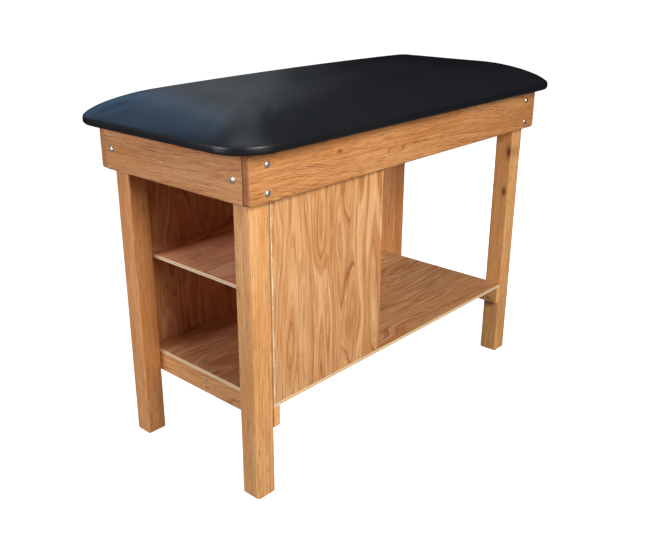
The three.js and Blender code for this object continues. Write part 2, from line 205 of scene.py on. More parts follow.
def fill(shape, loop):
    """Closes a loop of the pad with a grid of four-sided faces, and returns its new vertices."""
    inside = coons([v.co.copy() for v in loop])
    cells = {place: shape.verts.new(co) for place, co in inside.items()}
    made = list(cells.values())
    for i in range(LONG_STEPS + 1):
        cells[i, 0] = loop[i]
        cells[i, SHORT_STEPS] = loop[2 * LONG_STEPS + SHORT_STEPS - i]
    for j in range(SHORT_STEPS + 1):
        cells[0, j] = loop[-j]
        cells[LONG_STEPS, j] = loop[LONG_STEPS + j]
    for i in range(LONG_STEPS):
        for j in range(SHORT_STEPS):
            corners = (cells[i, j], cells[i + 1, j], cells[i + 1, j + 1], cells[i, j + 1])
            shape.faces.new(corners)
    return made


def pad_mesh():
    """The cover as a closed form: a body of foam and vinyl with a skirt turned under the board."""
    shape = bmesh.new()
    loops = []
    for inset, height, climb in pad_rings():
        loop = []
        for x, y in outline(inset):
            z = height
            if climb is not None:
                z += shoulder(x, y, climb)
            elif height < PAD_UNDERSIDE + BOTTOM_ROUND / 2:
                z -= pleat(x, y, inset)
            loop.append(shape.verts.new(Vector((x, y, z)) * MM))
        loops.append(loop)
    count = len(loops[0])
    for below, above in zip(loops, loops[1:]):
        for i in range(count):
            j = (i + 1) % count
            shape.faces.new((below[i], below[j], above[j], above[i]))
    fill(shape, loops[0])
    for vertex in fill(shape, loops[-1]):
        height = PAD_TOP + EDGE_RISE + crown(vertex.co.x / MM, vertex.co.y / MM)
        vertex.co.z = height * MM
    bmesh.ops.recalc_face_normals(shape, faces=shape.faces)
    return to_mesh(shape, "pad_cover")


# ---- Mesh helpers ------------------------------------------------------------------
LATHE_SEGMENTS = 40


def to_mesh(shape, name):
    """Turns an edited shape into a mesh and frees it."""
    mesh = bpy.data.meshes.new(name)
    shape.to_mesh(mesh)
    shape.free()
    return mesh


def add_piece(name, mesh, material, place=Matrix.Identity(4)):
    """A new piece that rides on the table, in the given material."""
    piece = bpy.data.objects.new(name, mesh)
    bpy.context.scene.collection.objects.link(piece)
    piece.matrix_world = place
    mesh.materials.clear()
    mesh.materials.append(material)
    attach(piece, "root")
    return piece


def lathe(profile, segments=LATHE_SEGMENTS, sharp_angle=35):
    """Closed solid turned round +Z from (radius, height) points that start and end on the axis."""
    shape = bmesh.new()
    rings = []
    for radius, height in profile:
        if radius == 0:
            rings.append([shape.verts.new((0, 0, height * MM))])
            continue
        ring = []
        for i in range(segments):
            angle = 2 * math.pi * i / segments
            spot = (radius * math.cos(angle), radius * math.sin(angle), height)
            ring.append(shape.verts.new(Vector(spot) * MM))
        rings.append(ring)
    for lower, upper in zip(rings, rings[1:]):
        for i in range(segments):
            j = (i + 1) % segments
            quad = [lower[i % len(lower)], lower[j % len(lower)]]
            quad += [upper[j % len(upper)], upper[i % len(upper)]]
            shape.faces.new(list(dict.fromkeys(quad)))
    bmesh.ops.recalc_face_normals(shape, faces=shape.faces)
    mesh = to_mesh(shape, "lathe")
    mesh.shade_smooth()
    mesh.set_sharp_from_angle(angle=math.radians(sharp_angle))
    return mesh


def evaluated_mesh(piece):
    """A piece's mesh with its modifiers applied."""
    graph = bpy.context.evaluated_depsgraph_get()
    return bpy.data.meshes.new_from_object(piece.evaluated_get(graph), depsgraph=graph)


# ---- Material helpers --------------------------------------------------------------
SEED_STEP = 17.3  # how far apart two seeds look along a line of noise


class Shader:
    """Builds one procedural material on top of its Principled BSDF."""

    def __init__(self, name):
        self.material = bpy.data.materials.new(name)
        self.material.use_nodes = True
        self.nodes = self.material.node_tree.nodes
        self.links = self.material.node_tree.links
        self.surface = self.nodes["Principled BSDF"]

    def put(self, socket, value):
        if isinstance(value, bpy.types.NodeSocket):
            self.links.new(value, socket)
        elif socket.type == "RGBA":
            socket.default_value = (*value, 1)
        else:
            socket.default_value = value

    def set_surface(self, **values):
        for key, value in values.items():
            self.put(self.surface.inputs[key.replace("_", " ")], value)

    def node(self, kind, inputs, **settings):
        made = self.nodes.new("ShaderNode" + kind)
        for key, value in settings.items():
            setattr(made, key, value)
        for key, value in inputs.items():
            self.put(made.inputs[key], value)
        return made

    def math(self, operation, *values):
        return self.node("Math", dict(enumerate(values)), operation=operation).outputs[0]

    def vector(self, operation, *values):
        made = self.node("VectorMath", dict(enumerate(values)), operation=operation)
        return made.outputs["Value" if operation in ("LENGTH", "DOT_PRODUCT") else "Vector"]

    def split(self, vector):
        return self.node("SeparateXYZ", {0: vector}).outputs[:]

    def join(self, x, y, z):
        return self.node("CombineXYZ", {0: x, 1: y, 2: z}).outputs[0]

    def remap(self, value, low, high, to_low=0.0, to_high=1.0):
        inputs = {0: value, 1: low, 2: high, 3: to_low, 4: to_high}
        return self.node("MapRange", inputs, interpolation_type="SMOOTHSTEP").outputs[0]

    def mix(self, factor, a, b, blend="MIX"):
        inputs = {0: factor, 6: a, 7: b}
        return self.node("Mix", inputs, data_type="RGBA", blend_type=blend).outputs[2]

    def ramp(self, value, stops, interpolation="LINEAR"):
        """Grey or coloured stops: (position, number or colour)."""
        made = self.node("ValToRGB", {0: value})
        made.color_ramp.interpolation = interpolation
        elements = made.color_ramp.elements
        while len(elements) < len(stops):
            elements.new(0.5)
        for element, (position, value) in zip(elements, stops):
            element.position = position
            colour = value if isinstance(value, tuple) else (value, value, value)
            element.color = (*colour, 1)
        return made.outputs[0]

    def noise(self, vector, lengths, detail=2.0, roughness=0.5, colour=False):
        """Noise whose blobs are about as long as the given lengths along each axis."""
        scaled = self.vector("DIVIDE", vector, lengths)
        inputs = {"Vector": scaled, "Scale": 1.0, "Detail": detail, "Roughness": roughness}
        return self.node("TexNoise", inputs).outputs["Color" if colour else "Fac"]

    def line_noise(self, value, length, seed, detail=1.0):
        """Noise along one number, whose waves are about as long as length."""
        along = self.math("ADD", self.math("DIVIDE", value, length), seed * SEED_STEP)
        inputs = {"W": along, "Scale": 1.0, "Detail": detail}
        return self.node("TexNoise", inputs, noise_dimensions="1D").outputs["Fac"]

    def warp(self, vector, lengths, reach):
        """The vector pushed about by soft noise."""
        push = self.vector("SUBTRACT", self.noise(vector, lengths, 1.0, colour=True), (0.5, 0.5, 0.5))
        return self.vector("ADD", vector, self.vector("MULTIPLY", push, reach))

    def bump(self, height, distance, strength):
        made = self.node("Bump", {"Height": height, "Distance": distance, "Strength": strength})
        return made.outputs[0]

    def board_space(self, grain, face):
        """Millimetres along the grain, across the face and into the board, and the facing's shares."""
        across = next(axis for axis in AXES if axis not in (grain, face))
        order = [AXES.index(axis) for axis in (grain, across, face)]
        coordinates = self.node("TexCoord", {})
        place = self.split(self.vector("DIVIDE", coordinates.outputs["Object"], (MM, MM, MM)))
        facing = self.split(self.vector("ABSOLUTE", coordinates.outputs["Normal"]))
        return self.join(*(place[i] for i in order)), facing[order[0]], facing[order[2]]


# ---- Wood --------------------------------------------------------------------------
OAK_PALE = (0.82, 0.425, 0.165)
OAK_HONEY = (0.66, 0.295, 0.095)
OAK_GRAIN = (0.40, 0.145, 0.042)
OAK_PORE = (0.24, 0.08, 0.024)
END_TONE = (0.74, 0.64, 0.60)  # multiplies the colour on end grain
KNOT_CORE = (0.13, 0.035, 0.012)


def oak(name, grain, face, pith, tilt, seed, knots=(), tone_and_painted_light=(1, 1, 1), end_tone=END_TONE,
        ring_width=3.0, wander=1.0, flecks=0.8, contrast=0.9):
    """Solid oak. Growth rings lie round a pith line that is tilted slightly to the grain axis.

    pith is where that line passes the board, across the face and into the board, and each
    knot is (along the grain, across the face, size, darkness of its core), in millimetres in
    the table's frame. wander is how far the grain strays from straight, and flecks and
    contrast are how dark the pores and the rings are.
    """
    s = Shader(name)
    place, end_share, _ = s.board_space(grain, face)
    board = s.vector("ADD", place, (seed * 913.0, seed * 71.0, seed * 37.0))
    drift = s.vector("SUBTRACT", s.noise(board, (420, 75, 75), 1.0, colour=True), (0.5, 0.5, 0.5))
    ripple = s.vector("SUBTRACT", s.noise(board, (48, 13, 13), 2.0, colour=True), (0.5, 0.5, 0.5))
    moved = s.vector("ADD", place, s.vector("MULTIPLY", drift, (0, 34 * wander, 34 * wander)))
    moved = s.vector("ADD", moved, s.vector("MULTIPLY", ripple, (0, 3.4 * wander, 3.4 * wander)))
    u, v, w = s.split(moved)
    from_pith_v = s.math("SUBTRACT", v, pith[0])
    from_pith_w = s.math("SUBTRACT", w, s.math("MULTIPLY_ADD", u, tilt, pith[1]))
    radius = s.vector("LENGTH", s.join(0.0, from_pith_v, from_pith_w))

    core = 0.0
    flat_u, flat_v, _ = s.split(place)
    for along, across, size, darkness in knots:
        off_u = s.math("MULTIPLY", s.math("SUBTRACT", flat_u, along), 0.45)
        off_v = s.math("SUBTRACT", flat_v, across)
        distance = s.vector("LENGTH", s.join(off_u, off_v, 0.0))
        spread = s.math("POWER", s.math("DIVIDE", distance, size), 2.0)
        swell = s.math("EXPONENT", s.math("MULTIPLY", spread, -1.0))
        radius = s.math("MULTIPLY_ADD", swell, size * 1.5, radius)
        middle = s.math("EXPONENT", s.math("MULTIPLY", spread, -9.0))
        core = s.math("MAXIMUM", core, s.math("MULTIPLY", middle, darkness))

    uneven = s.line_noise(radius, 16.0, seed)
    rings = s.math("DIVIDE", s.math("MULTIPLY_ADD", uneven, 9.0, radius), ring_width)
    phase = s.math("FRACT", rings)
    ring = s.ramp(phase, [(0, 1.0), (0.28, 0.45), (0.62, 0.05), (0.86, 0.0), (1, 1.0)])
    strength = s.remap(s.line_noise(radius, 9.0, seed + 5, 2.0), 0.32, 0.62, 0.1, 1.0)
    patches = s.remap(s.noise(board, (170, 16, 16), 3.0), 0.32, 0.62, 0.4, 1.0)
    dark = s.math("MULTIPLY", s.math("MULTIPLY", ring, strength), patches)

    fibre = s.noise(board, (95, 3.0, 3.0), 3.0, 0.7)
    pore = s.remap(s.noise(board, (32, 3.0, 3.0), 3.0, 0.65), 0.52, 0.62)
    pore = s.math("MULTIPLY", pore, s.math("MULTIPLY_ADD", dark, 0.7, 0.3))
    broad = s.noise(board, (330, 40, 40), 2.0)

    blend = s.math("MULTIPLY_ADD", s.math("SUBTRACT", fibre, 0.5), 1.8, broad)
    colour = s.mix(s.remap(blend, 0.25, 0.75), OAK_HONEY, OAK_PALE)
    colour = s.mix(s.math("MULTIPLY", dark, contrast), colour, OAK_GRAIN)
    colour = s.mix(s.math("MULTIPLY", pore, flecks), colour, OAK_PORE)
    colour = s.mix(core, colour, KNOT_CORE)
    # The colour is multiplied by a tone: the board's own colour on most parts, and painted shade on
    # the two rear legs.
    colour = s.mix(1.0, colour, tone_and_painted_light, "MULTIPLY")
    colour = s.mix(s.remap(end_share, 0.55, 0.8), colour, s.mix(1.0, colour, end_tone, "MULTIPLY"))

    height = s.math("MULTIPLY_ADD", dark, -0.35, s.math("MULTIPLY", pore, -1.0))
    finish = s.remap(broad, 0.2, 0.8, 0.34, 0.46)
    s.set_surface(Base_Color=colour, Roughness=finish, Coat_Weight=0.18, Coat_Roughness=0.22)
    s.set_surface(Normal=s.bump(height, 0.25 * MM, 0.5))
    return s.material


VENEER_PALE = (0.88, 0.54, 0.27)
VENEER_HONEY = (0.66, 0.31, 0.11)
VENEER_GRAIN = (0.40, 0.135, 0.036)
PLY_PALE = (0.95, 0.73, 0.46)
PLY_CROSS = (0.62, 0.40, 0.21)
PLY_GLUE = (0.36, 0.19, 0.09)
PLY_LAYERS = [  # where each layer starts, as a share of the thickness, and its colour
    (0, VENEER_HONEY),
    (0.06, PLY_PALE),
    (0.42, PLY_GLUE),
    (0.58, PLY_PALE),
    (0.94, VENEER_HONEY),
]


def veneer_ply(name, grain, face, thickness, seed, tone_and_painted_light=(1, 1, 1), chipped=None):
    """Plywood faced with flat-cut oak veneer.

    thickness is the lowest and highest place of the sheet across its faces. chipped is the
    place across the grain of an edge where the face veneer has broken away.
    """
    s = Shader(name)
    place, end_share, face_share = s.board_space(grain, face)
    board = s.vector("ADD", place, (seed * 877.0, seed * 123.0, 0.0))
    ripple = s.vector("SUBTRACT", s.noise(board, (70, 16, 900), 2.0, colour=True), (0.5, 0.5, 0.5))
    moved = s.vector("ADD", board, s.vector("MULTIPLY", ripple, (0, 5.0, 0)))
    _, across, _ = s.split(moved)
    hills = s.noise(moved, (350, 56, 900), 1.0)
    contours = s.math("MULTIPLY_ADD", hills, 10.0, s.math("DIVIDE", across, 27.0))
    phase = s.math("FRACT", contours)
    ring = s.ramp(phase, [(0, 1.0), (0.22, 0.6), (0.5, 0.05), (0.82, 0.0), (1, 1.0)])
    fine_phase = s.math("FRACT", s.math("MULTIPLY", contours, 3.0))
    fine = s.ramp(fine_phase, [(0, 1.0), (0.5, 0.0), (1, 0.6)])
    strength = s.remap(s.line_noise(contours, 1.3, seed), 0.3, 0.65, 0.35, 1.0)
    patches = s.remap(s.noise(board, (170, 26, 900), 2.0), 0.3, 0.65, 0.45, 1.0)
    figure = s.math("MULTIPLY_ADD", fine, 0.4, ring)
    dark = s.math("MULTIPLY", figure, s.math("MULTIPLY", strength, patches))

    fibre = s.noise(board, (110, 3.4, 900), 3.0, 0.7)
    pore = s.remap(s.noise(board, (24, 1.2, 900), 2.0, 0.6), 0.54, 0.68)
    pore = s.math("MULTIPLY", pore, s.math("MULTIPLY_ADD", dark, 0.6, 0.3))
    broad = s.line_noise(contours, 1.4, seed + 3)
    blend = s.math("MULTIPLY_ADD", s.math("SUBTRACT", fibre, 0.5), 1.3, broad)
    colour = s.mix(s.remap(blend, 0.28, 0.72), VENEER_HONEY, VENEER_PALE)
    colour = s.mix(s.math("MULTIPLY", dark, 0.75), colour, VENEER_GRAIN)
    colour = s.mix(s.math("MULTIPLY", pore, 0.45), colour, OAK_PORE)
    # The colour is multiplied by a tone: the sheet's own colour on most parts, painted shade on the
    # lower shelf and the rear panel, and painted light on the middle shelf.
    colour = s.mix(1.0, colour, tone_and_painted_light, "MULTIPLY")

    _, flat_across, depth = s.split(place)
    layer = s.math("DIVIDE", s.math("SUBTRACT", depth, thickness[0]), thickness[1] - thickness[0])
    edge = s.ramp(layer, PLY_LAYERS, "CONSTANT")
    saw = s.remap(s.noise(place, (1.2, 1.2, 1.2), 3.0), 0.35, 0.75, 0.0, 0.2)
    edge = s.mix(saw, edge, PLY_CROSS)
    exposed = s.remap(face_share, 0.95, 0.8)
    if chipped is not None:
        wear = s.noise(place, (26, 900, 900), 3.0, 0.7)
        reach = s.remap(wear, 0.42, 0.66, 0.9, 3.2)
        distance = s.math("ABSOLUTE", s.math("SUBTRACT", flat_across, chipped))
        torn = s.math("LESS_THAN", distance, reach)
        exposed = s.math("MAXIMUM", exposed, torn)
        edge = s.mix(torn, edge, PLY_PALE)
    colour = s.mix(exposed, colour, edge)

    height = s.math("MULTIPLY_ADD", dark, -0.3, s.math("MULTIPLY", pore, -1.0))
    finish = s.remap(broad, 0.2, 0.8, 0.36, 0.48)
    s.set_surface(Base_Color=colour, Roughness=finish, Coat_Weight=0.15, Coat_Roughness=0.25)
    s.set_surface(Normal=s.bump(height, 0.2 * MM, 0.5))
    return s.material


def bare_ply(name):
    """The unfinished plywood that the pad is built on."""
    s = Shader(name)
    place, _, face_share = s.board_space("X", "Z")
    fibre = s.noise(place, (70, 1.8, 900), 3.0, 0.6)
    waves = s.noise(s.warp(place, (200, 40, 900), (0, 30, 0)), (500, 14, 900), 2.0)
    colour = s.mix(s.remap(fibre, 0.3, 0.7), (0.60, 0.40, 0.20), (0.74, 0.55, 0.32))
    colour = s.mix(s.remap(waves, 0.5, 0.66, 0.0, 0.45), colour, (0.42, 0.24, 0.10))
    colour = s.mix(s.remap(face_share, 0.9, 0.7), colour, PLY_CROSS)
    s.set_surface(Base_Color=colour, Roughness=s.remap(fibre, 0.2, 0.8, 0.6, 0.75))
    s.set_surface(Normal=s.bump(fibre, 0.2 * MM, 0.4))
    return s.material


# ---- Vinyl, metal and floor --------------------------------------------------------
def vinyl(name):
    """Black upholstery vinyl with a fine leather grain."""
    s = Shader(name)
    place = s.node("TexCoord", {}).outputs["Object"]
    grain = s.warp(place, (0.004, 0.004, 0.004), (0.0012, 0.0012, 0.0012))
    cells = s.node("TexVoronoi", {"Vector": grain, "Scale": 720.0}, feature="DISTANCE_TO_EDGE")
    valley = s.remap(cells.outputs["Distance"], 0.0, 0.22)
    fine = s.noise(place, (0.0005, 0.0005, 0.0005), 2.0)
    height = s.math("MULTIPLY_ADD", fine, 0.35, valley)
    handling = s.noise(place, (0.16, 0.16, 0.16), 3.0)
    # The grain's valleys are painted darker than the tops of its cells: painted shade in the grain.
    colour = s.mix(valley, (0.0045, 0.005, 0.0065), (0.0065, 0.0075, 0.0095))
    s.set_surface(Base_Color=colour, Roughness=s.remap(handling, 0.3, 0.7, 0.31, 0.39))
    s.set_surface(Normal=s.bump(height, 0.06 * MM, 0.55), Specular_IOR_Level=0.42)
    return s.material


def zinc(name):
    """Zinc-plated steel, a little dulled."""
    s = Shader(name)
    place = s.node("TexCoord", {}).outputs["Object"]
    cloud = s.noise(place, (0.006, 0.006, 0.006), 3.0, 0.6)
    spangle = s.noise(place, (0.0012, 0.0012, 0.0012), 2.0)
    colour = s.mix(s.remap(cloud, 0.3, 0.7), (0.66, 0.68, 0.69), (0.80, 0.81, 0.81))
    s.set_surface(Base_Color=colour, Metallic=1.0, Roughness=s.remap(spangle, 0.2, 0.8, 0.32, 0.46))
    s.set_surface(Normal=s.bump(spangle, 0.02 * MM, 0.3))
    return s.material


def studio_floor(name):
    """A white floor, which throws only part of its light back up at the table."""
    s = Shader(name)
    seen = s.node("LightPath", {}).outputs["Is Camera Ray"]
    colour = s.mix(seen, (0.14, 0.14, 0.14), (0.9, 0.9, 0.9))
    s.set_surface(Base_Color=colour, Roughness=0.9, Specular_IOR_Level=0.0)
    s.set_surface(Emission_Color=(1, 1, 1), Emission_Strength=s.math("MULTIPLY", seen, 0.9))
    return s.material


# ---- CAD nodes that stay: rounded arrises, smooth shading and their materials -------
WELD_REACH = 0.01  # in millimetres, like the arrises below
FLAT_ANGLE = 0.5  # degrees: faces that meet at less are one flat face
ARRIS_ANGLE = 35  # degrees: edges that turn by more are rounded over
CREASE_ANGLE = 50  # degrees: edges that turn by more are shaded sharp


def tidy_shading():
    """Geometry nodes that shade a welded mesh smooth, except across sharp edges."""
    group = bpy.data.node_groups.new("Tidy shading", "GeometryNodeTree")
    for way in ("INPUT", "OUTPUT"):
        group.interface.new_socket("Geometry", in_out=way, socket_type="NodeSocketGeometry")
    nodes, links = group.nodes, group.links
    start, end = nodes.new("NodeGroupInput"), nodes.new("NodeGroupOutput")
    bare = nodes.new("GeometryNodeRemoveAttribute")
    bare.inputs["Name"].default_value = "custom_normal"
    smooth = nodes.new("GeometryNodeSetShadeSmooth")
    sharp = nodes.new("GeometryNodeSetShadeSmooth")
    sharp.domain = "EDGE"
    sharp.inputs["Shade Smooth"].default_value = False
    angle = nodes.new("GeometryNodeInputMeshEdgeAngle")
    steep = nodes.new("FunctionNodeCompare")
    steep.operation = "GREATER_THAN"
    steep.inputs[1].default_value = math.radians(CREASE_ANGLE)
    links.new(angle.outputs["Unsigned Angle"], steep.inputs[0])
    links.new(steep.outputs[0], sharp.inputs["Selection"])
    chain = [start, bare, smooth, sharp, end]
    for before, after in zip(chain, chain[1:]):
        links.new(before.outputs[0], after.inputs[0])
    return group


TIDY_SHADING = tidy_shading()


def dress(node, material, arris):
    """Gives a CAD node its material and rounds its sharp edges over by arris millimetres."""
    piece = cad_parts[node]
    piece.data.materials.clear()
    piece.data.materials.append(material)
    weld = piece.modifiers.new("Weld", "WELD")
    weld.merge_threshold = WELD_REACH * MM
    plain = piece.modifiers.new("Join flat faces", "DECIMATE")
    plain.decimate_type = "DISSOLVE"
    plain.angle_limit = math.radians(FLAT_ANGLE)
    bevel = piece.modifiers.new("Arris", "BEVEL")
    bevel.width = arris * MM
    bevel.segments = 2
    bevel.limit_method = "ANGLE"
    bevel.angle_limit = math.radians(ARRIS_ANGLE)
    bevel.use_clamp_overlap = False
    shading = piece.modifiers.new("Shading", "NODES")
    shading.node_group = TIDY_SHADING
    normals = piece.modifiers.new("Normals", "WEIGHTED_NORMAL")
    normals.keep_sharp = True


def box_mm(node):
    """A node's lowest and highest corners in millimetres."""
    low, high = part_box(node)
    return low / MM, high / MM


LONG_APRON_ARRIS = 3.2
BOARD_ARRIS = 0.8
LEG_ARRIS = 0.6
PLY_ARRIS = 0.6
PAD_BOARD_ARRIS = 0.4
NUT_ARRIS = 0.35
# Colour multipliers for the legs. The two rear legs are darker: painted shade for the shade they stand
# in at the back. The other legs take the default.
LEG_TONES_AND_SHADE = {("right", "rear"): (0.90, 0.82, 0.78), ("left", "rear"): (1.0, 0.91, 0.87)}


def dress_aprons():
    front_low, front_high = box_mm("front_apron_board")
    middle = (front_low.z + front_high.z) / 2
    knots = [(-303, 800, 12, 0.8), (-99, 765, 11, 0.0)]
    front = oak("Oak front apron", "X", "Y", (middle - 75, -160), 0.035, 1, knots,
                (0.78, 0.725, 0.71), flecks=1.0)
    rear = oak("Oak rear apron", "X", "Y", (middle + 25, 175), -0.04, 2, [(160, 780, 11, 0.5)])
    left = oak("Oak left apron", "Y", "X", (middle - 80, -470), 0.03, 3, (), (0.86, 0.80, 0.78))
    right = oak("Oak right apron", "Y", "X", (middle + 15, 520), 0.07, 4)
    dress("front_apron_board", front, LONG_APRON_ARRIS)
    dress("rear_apron_board", rear, LONG_APRON_ARRIS)
    dress("left_end_apron_board", left, BOARD_ARRIS)
    dress("right_end_apron_board", right, BOARD_ARRIS)


def dress_legs():
    knots = {("right", "front"): [(658, -232, 26, 1.0), (534, -226, 19, 1.0)]}
    for index, (end, side) in enumerate((end, side) for end in ENDS for side in SIDES):
        low, high = box_mm(f"leg_{side}_{end}")
        centre = (low + high) / 2
        pith = (centre.y + SIDES[side] * -62, centre.x + ENDS[end] * -48)
        found = knots.get((end, side), ())
        tone_and_painted_light = LEG_TONES_AND_SHADE.get((end, side), (1.02, 1.05, 1.08))
        wood = oak(f"Oak leg {side} {end}", "Z", "X", pith, 0.02, 10 + index, found, tone_and_painted_light,
                   ring_width=3.0, wander=0.3, flecks=0.7, contrast=0.5)
        dress(f"leg_{side}_{end}", wood, LEG_ARRIS)


def dress_frame():
    for index, end in enumerate(ENDS):
        low, high = box_mm(f"shelf_rail_{end}")
        centre = (low + high) / 2
        pith = (centre.z - 20, centre.x - ENDS[end] * 60)
        wood = oak(f"Oak rail {end}", "Y", "X", pith, 0.05, 20 + index, end_tone=(1.25, 1.3, 1.4))
        dress(f"shelf_rail_{end}", wood, BOARD_ARRIS)
    dress("shelf_stretcher", oak("Oak stretcher", "X", "Y", (160, 70), 0.03, 23), BOARD_ARRIS)
    for index, side in enumerate(SIDES):
        cleat = oak(f"Oak cleat {side}", "X", "Z", (SIDES[side] * 200, 900), 0.02, 25 + index)
        dress(f"pad_cleat_{side}", cleat, BOARD_ARRIS)


def dress_cabinet():
    layers = {}
    for node in ("lower_shelf", "cabinet_middle_shelf"):
        low, high = box_mm(node)
        layers[node] = (low.z, high.z)
    for node in ("cabinet_front_panel", "cabinet_rear_panel"):
        low, high = box_mm(node)
        layers[node] = (low.y, high.y)
    low, high = box_mm("cabinet_partition")
    layers["cabinet_partition"] = (low.x, high.x)
    torn_edge = box_mm("cabinet_front_panel")[0].x
    plan = [
        # Darker: painted shade for the shade under the table.
        ("lower_shelf", "X", "Z", 31, (0.78, 0.70, 0.68), None),
        # Far lighter than the other sheets, past what wood can reflect: painted light on the middle
        # shelf inside the cabinet.
        ("cabinet_middle_shelf", "X", "Z", 32, (1.45, 1.32, 1.5), None),
        ("cabinet_front_panel", "Z", "Y", 33, (0.89, 0.85, 0.81), torn_edge),
        # Darker and redder: painted shade for the cabinet's shadowed inside.
        ("cabinet_rear_panel", "Z", "Y", 34, (0.78, 0.66, 0.62), None),
        ("cabinet_partition", "Z", "X", 35, (1, 0.98, 0.96), None),
    ]
    for node, grain, face, seed, tone_and_painted_light, chipped in plan:
        wood = veneer_ply(f"Ply {node}", grain, face, layers[node], seed, tone_and_painted_light, chipped)
        dress(node, wood, PLY_ARRIS)


# ---- Pad ---------------------------------------------------------------------------
PRESSURE = 0.7
PIN_HEIGHT = LINING_TOP  # everything below is fastened to the board
PIN_MARGIN = 0.1
SWELL_LIMIT = 1.0  # mm that a point of the cover may move
SIMULATED_FRAMES = 20


def inflate(pad):
    """Lets the foam's push swell the cover as cloth, and keeps the swollen shape."""
    rest = [v.co.copy() for v in pad.data.vertices]
    cloth = pad.modifiers.new("Cloth", "CLOTH")
    cloth.settings.use_pressure = True
    cloth.settings.uniform_pressure_force = PRESSURE
    cloth.settings.vertex_group_mass = "fastened"
    cloth.settings.effector_weights.gravity = 0
    cloth.collision_settings.use_collision = False
    cloth.point_cache.frame_start = 1
    cloth.point_cache.frame_end = SIMULATED_FRAMES
    for step in range(1, SIMULATED_FRAMES + 1):
        bpy.context.scene.frame_set(step)
    graph = bpy.context.evaluated_depsgraph_get()
    swollen = [v.co.copy() for v in pad.evaluated_get(graph).data.vertices]
    pad.modifiers.remove(cloth)
    bpy.context.scene.frame_set(1)
    limit = SWELL_LIMIT * MM
    for vertex, start, moved in zip(pad.data.vertices, rest, swollen):
        move = moved - start
        if move.length > 0:
            vertex.co = start + move.normalized() * limit * math.tanh(move.length / limit)


def make_pad():
    """The padded top, which stands for the CAD cover and foam, on its bare plywood board."""
    pad = add_piece("upholstered_pad", pad_mesh(), vinyl("Black vinyl"))
    for group, height in (("fastened", PIN_HEIGHT), ("turned under", PAD_UNDERSIDE + BOTTOM_ROUND)):
        below = [v.index for v in pad.data.vertices if v.co.z < (height + PIN_MARGIN) * MM]
        pad.vertex_groups.new(name=group).add(below, 1.0, "REPLACE")
    inflate(pad)
    settle = pad.modifiers.new("Settle", "SMOOTH")
    settle.iterations = 3
    settle.vertex_group = "turned under"
    settle.invert_vertex_group = True
    finer = pad.modifiers.new("Finer", "SUBSURF")
    finer.levels = finer.render_levels = 1
    pad.data.shade_smooth()
    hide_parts("pad_cover", "pad_foam")
    dress("pad_board", bare_ply("Bare plywood"), PAD_BOARD_ARRIS)


# ---- Staples -----------------------------------------------------------------------
STAPLE_WIDTH = 10.0
STAPLE_WIRE = 0.9
STAPLE_SPACING = 4  # outline points from one staple to the next
STAPLE_INSET = 27
STAPLE_SKEW = 12  # degrees that a staple may stand askew
STAPLE_ROUND = 0.25


def make_staples(metal):
    """Staples that hold the turned-under vinyl, as one piece."""
    shape = bmesh.new()
    points = outline(STAPLE_INSET)
    half = Vector((STAPLE_WIDTH, STAPLE_WIRE, STAPLE_WIRE)) / 2 * MM
    for i in range(0, len(points), STAPLE_SPACING):
        here = Vector(points[i])
        ahead = Vector(points[(i + 1) % len(points)]) - here
        turn = math.atan2(ahead.y, ahead.x) + math.radians(STAPLE_SKEW * math.sin(i * 2.3))
        drop = pleat(here.x, here.y, STAPLE_INSET)
        spot = Vector((here.x, here.y, PAD_UNDERSIDE - drop - STAPLE_WIRE / 4)) * MM
        place = Matrix.Translation(spot) @ Matrix.Rotation(turn, 4, "Z") @ Matrix.Diagonal((*half, 1))
        made = bmesh.ops.create_cube(shape, size=2, matrix=place)
        edges = {edge for vert in made["verts"] for edge in vert.link_edges}
        bmesh.ops.bevel(shape, geom=list(edges), offset=STAPLE_ROUND * MM, segments=2, affect="EDGES")
    mesh = to_mesh(shape, "staples")
    mesh.shade_smooth()
    add_piece("cover_staples", mesh, metal)


# ---- Fasteners ---------------------------------------------------------------------
BOLT_HEAD_RADIUS = 7.4
BOLT_HEAD_HEIGHT = 3.8
BOLT_HEAD_EDGE = 0.7
BOLT_HEAD_CHAMFER = 0.15
BOLT_HEAD_STEPS = 10
BOLT_RADIUS = 3.1
BOLT_THREAD_PITCH = 1.27
BOLT_THREAD_TURNS = 14
BOLT_THREAD_DEPTH = 0.5
BOLT_END_CHAMFER = 0.7
SEAT_GAP = 0.3  # between a bolt head and the wood
SCREW_HEAD_RADIUS = 4.4
SCREW_HEAD_EDGE = 0.45
SCREW_HEAD_DEPTH = 2.9
SCREW_RADIUS = 2.2
SCREW_POINT = 4
SCREW_SEED = 7  # for how far each screw was turned before it stopped
RECESS_REACH = 2.3  # half the span of a screw's cross recess
RECESS_HALF_WIDTH = 0.45
RECESS_DEPTH = 2.0
RECESS_LIP = 0.5  # how far the cutting shape stands out of the head


def face_out(node, faces):
    """A fastener's length, and the matrix that moves its head's top there and turns +Z to faces."""
    low, high = box_mm(node)
    direction = Vector(faces)
    tip = (low + high) / 2 + Vector(abs(f) * s / 2 for f, s in zip(faces, high - low)) * sum(faces)
    length = (high - low).dot(Vector(abs(f) for f in faces))
    turn = Vector((0, 0, 1)).rotation_difference(direction).to_matrix().to_4x4()
    return length, Matrix.Translation(tip * MM) @ turn


